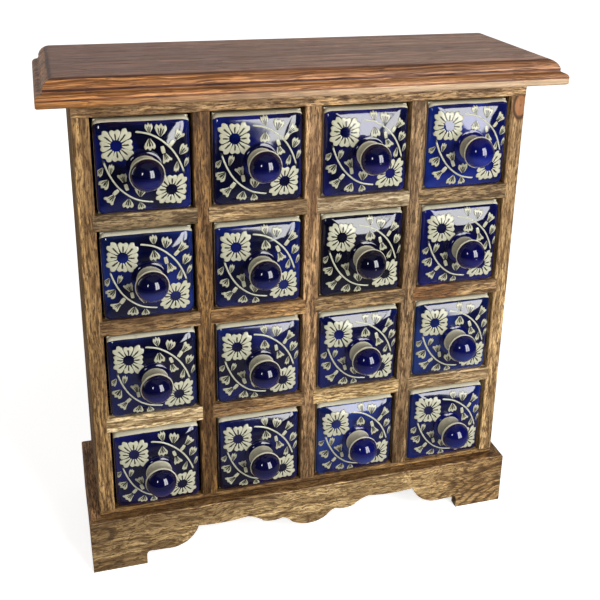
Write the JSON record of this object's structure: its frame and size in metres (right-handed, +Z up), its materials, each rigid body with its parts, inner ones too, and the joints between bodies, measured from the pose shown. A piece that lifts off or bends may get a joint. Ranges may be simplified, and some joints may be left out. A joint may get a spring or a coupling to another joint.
{
  "type": "tabletop drawer chest",
  "caption": "Small wooden chest with a moulded top, scalloped plinth and a grid of glazed ceramic drawers with round knobs.",
  "frame": {"origin": "on the surface it stands on, under the middle of the whole chest", "axes": "+X to the right seen from the front, +Y from the front to the back, +Z up"},
  "size_m": [0.362, 0.1318, 0.3766],
  "materials": {
    "mango_case": "waxed mango wood, open pored",
    "mango_top": "waxed mango wood, polished flat",
    "mango_plinth": "waxed mango wood, open pored",
    "mango_back": "unfinished wood",
    "glazed_front": "gloss cobalt glaze with cream slip flowers",
    "glazed_knob": "gloss cobalt dome on a cream neck",
    "steel": "plain wire and screws"
  },
  "bodies": {
    "case": {"top_board": "mango_top", "case_top": "mango_case", "case_bottom": "mango_case", "left_side": "mango_case", "right_side": "mango_case", "divider_1": "mango_case", "divider_2": "mango_case", "divider_3": "mango_case", "shelf_r1c1": "mango_case", "shelf_r1c2": "mango_case", "shelf_r1c3": "mango_case", "shelf_r1c4": "mango_case", "shelf_r2c1": "mango_case", "shelf_r2c2": "mango_case", "shelf_r2c3": "mango_case", "shelf_r2c4": "mango_case", "shelf_r3c1": "mango_case", "shelf_r3c2": "mango_case", "shelf_r3c3": "mango_case", "shelf_r3c4": "mango_case", "back_panel": "mango_back", "back_panel_pins": "steel", "top_screws": "steel", "front_apron": "mango_plinth", "left_apron": "mango_plinth", "right_apron": "mango_plinth", "corner_blocks": "mango_back"},
    "drawer_r1c1": {"drawer_r1c1": "glazed_front", "knob_r1c1": "glazed_knob"},
    "drawer_r1c2": {"drawer_r1c2": "glazed_front", "knob_r1c2": "glazed_knob"},
    "drawer_r1c3": {"drawer_r1c3": "glazed_front", "knob_r1c3": "glazed_knob"},
    "drawer_r1c4": {"drawer_r1c4": "glazed_front", "knob_r1c4": "glazed_knob"},
    "drawer_r2c1": {"drawer_r2c1": "glazed_front", "knob_r2c1": "glazed_knob"},
    "drawer_r2c2": {"drawer_r2c2": "glazed_front", "knob_r2c2": "glazed_knob"},
    "drawer_r2c3": {"drawer_r2c3": "glazed_front", "knob_r2c3": "glazed_knob"},
    "drawer_r2c4": {"drawer_r2c4": "glazed_front", "knob_r2c4": "glazed_knob"},
    "drawer_r3c1": {"drawer_r3c1": "glazed_front", "knob_r3c1": "glazed_knob"},
    "drawer_r3c2": {"drawer_r3c2": "glazed_front", "knob_r3c2": "glazed_knob"},
    "drawer_r3c3": {"drawer_r3c3": "glazed_front", "knob_r3c3": "glazed_knob"},
    "drawer_r3c4": {"drawer_r3c4": "glazed_front", "knob_r3c4": "glazed_knob"},
    "drawer_r4c1": {"drawer_r4c1": "glazed_front", "knob_r4c1": "glazed_knob"},
    "drawer_r4c2": {"drawer_r4c2": "glazed_front", "knob_r4c2": "glazed_knob"},
    "drawer_r4c3": {"drawer_r4c3": "glazed_front", "knob_r4c3": "glazed_knob"},
    "drawer_r4c4": {"drawer_r4c4": "glazed_front", "knob_r4c4": "glazed_knob"}
  },
  "joints": [
    {"name": "drawer_r1c1_slide", "type": "slide", "parent": "case", "child": "drawer_r1c1", "axis": [0, -1, 0], "range_m": [0, 0.07]},
    {"name": "drawer_r1c2_slide", "type": "slide", "parent": "case", "child": "drawer_r1c2", "axis": [0, -1, 0], "range_m": [0, 0.07]},
    {"name": "drawer_r1c3_slide", "type": "slide", "parent": "case", "child": "drawer_r1c3", "axis": [0, -1, 0], "range_m": [0, 0.07]},
    {"name": "drawer_r1c4_slide", "type": "slide", "parent": "case", "child": "drawer_r1c4", "axis": [0, -1, 0], "range_m": [0, 0.07]},
    {"name": "drawer_r2c1_slide", "type": "slide", "parent": "case", "child": "drawer_r2c1", "axis": [0, -1, 0], "range_m": [0, 0.07]},
    {"name": "drawer_r2c2_slide", "type": "slide", "parent": "case", "child": "drawer_r2c2", "axis": [0, -1, 0], "range_m": [0, 0.07]},
    {"name": "drawer_r2c3_slide", "type": "slide", "parent": "case", "child": "drawer_r2c3", "axis": [0, -1, 0], "range_m": [0, 0.07]},
    {"name": "drawer_r2c4_slide", "type": "slide", "parent": "case", "child": "drawer_r2c4", "axis": [0, -1, 0], "range_m": [0, 0.07]},
    {"name": "drawer_r3c1_slide", "type": "slide", "parent": "case", "child": "drawer_r3c1", "axis": [0, -1, 0], "range_m": [0, 0.07]},
    {"name": "drawer_r3c2_slide", "type": "slide", "parent": "case", "child": "drawer_r3c2", "axis": [0, -1, 0], "range_m": [0, 0.07]},
    {"name": "drawer_r3c3_slide", "type": "slide", "parent": "case", "child": "drawer_r3c3", "axis": [0, -1, 0], "range_m": [0, 0.07]},
    {"name": "drawer_r3c4_slide", "type": "slide", "parent": "case", "child": "drawer_r3c4", "axis": [0, -1, 0], "range_m": [0, 0.07]},
    {"name": "drawer_r4c1_slide", "type": "slide", "parent": "case", "child": "drawer_r4c1", "axis": [0, -1, 0], "range_m": [0, 0.07]},
    {"name": "drawer_r4c2_slide", "type": "slide", "parent": "case", "child": "drawer_r4c2", "axis": [0, -1, 0], "range_m": [0, 0.07]},
    {"name": "drawer_r4c3_slide", "type": "slide", "parent": "case", "child": "drawer_r4c3", "axis": [0, -1, 0], "range_m": [0, 0.07]},
    {"name": "drawer_r4c4_slide", "type": "slide", "parent": "case", "child": "drawer_r4c4", "axis": [0, -1, 0], "range_m": [0, 0.07]}
  ]
}
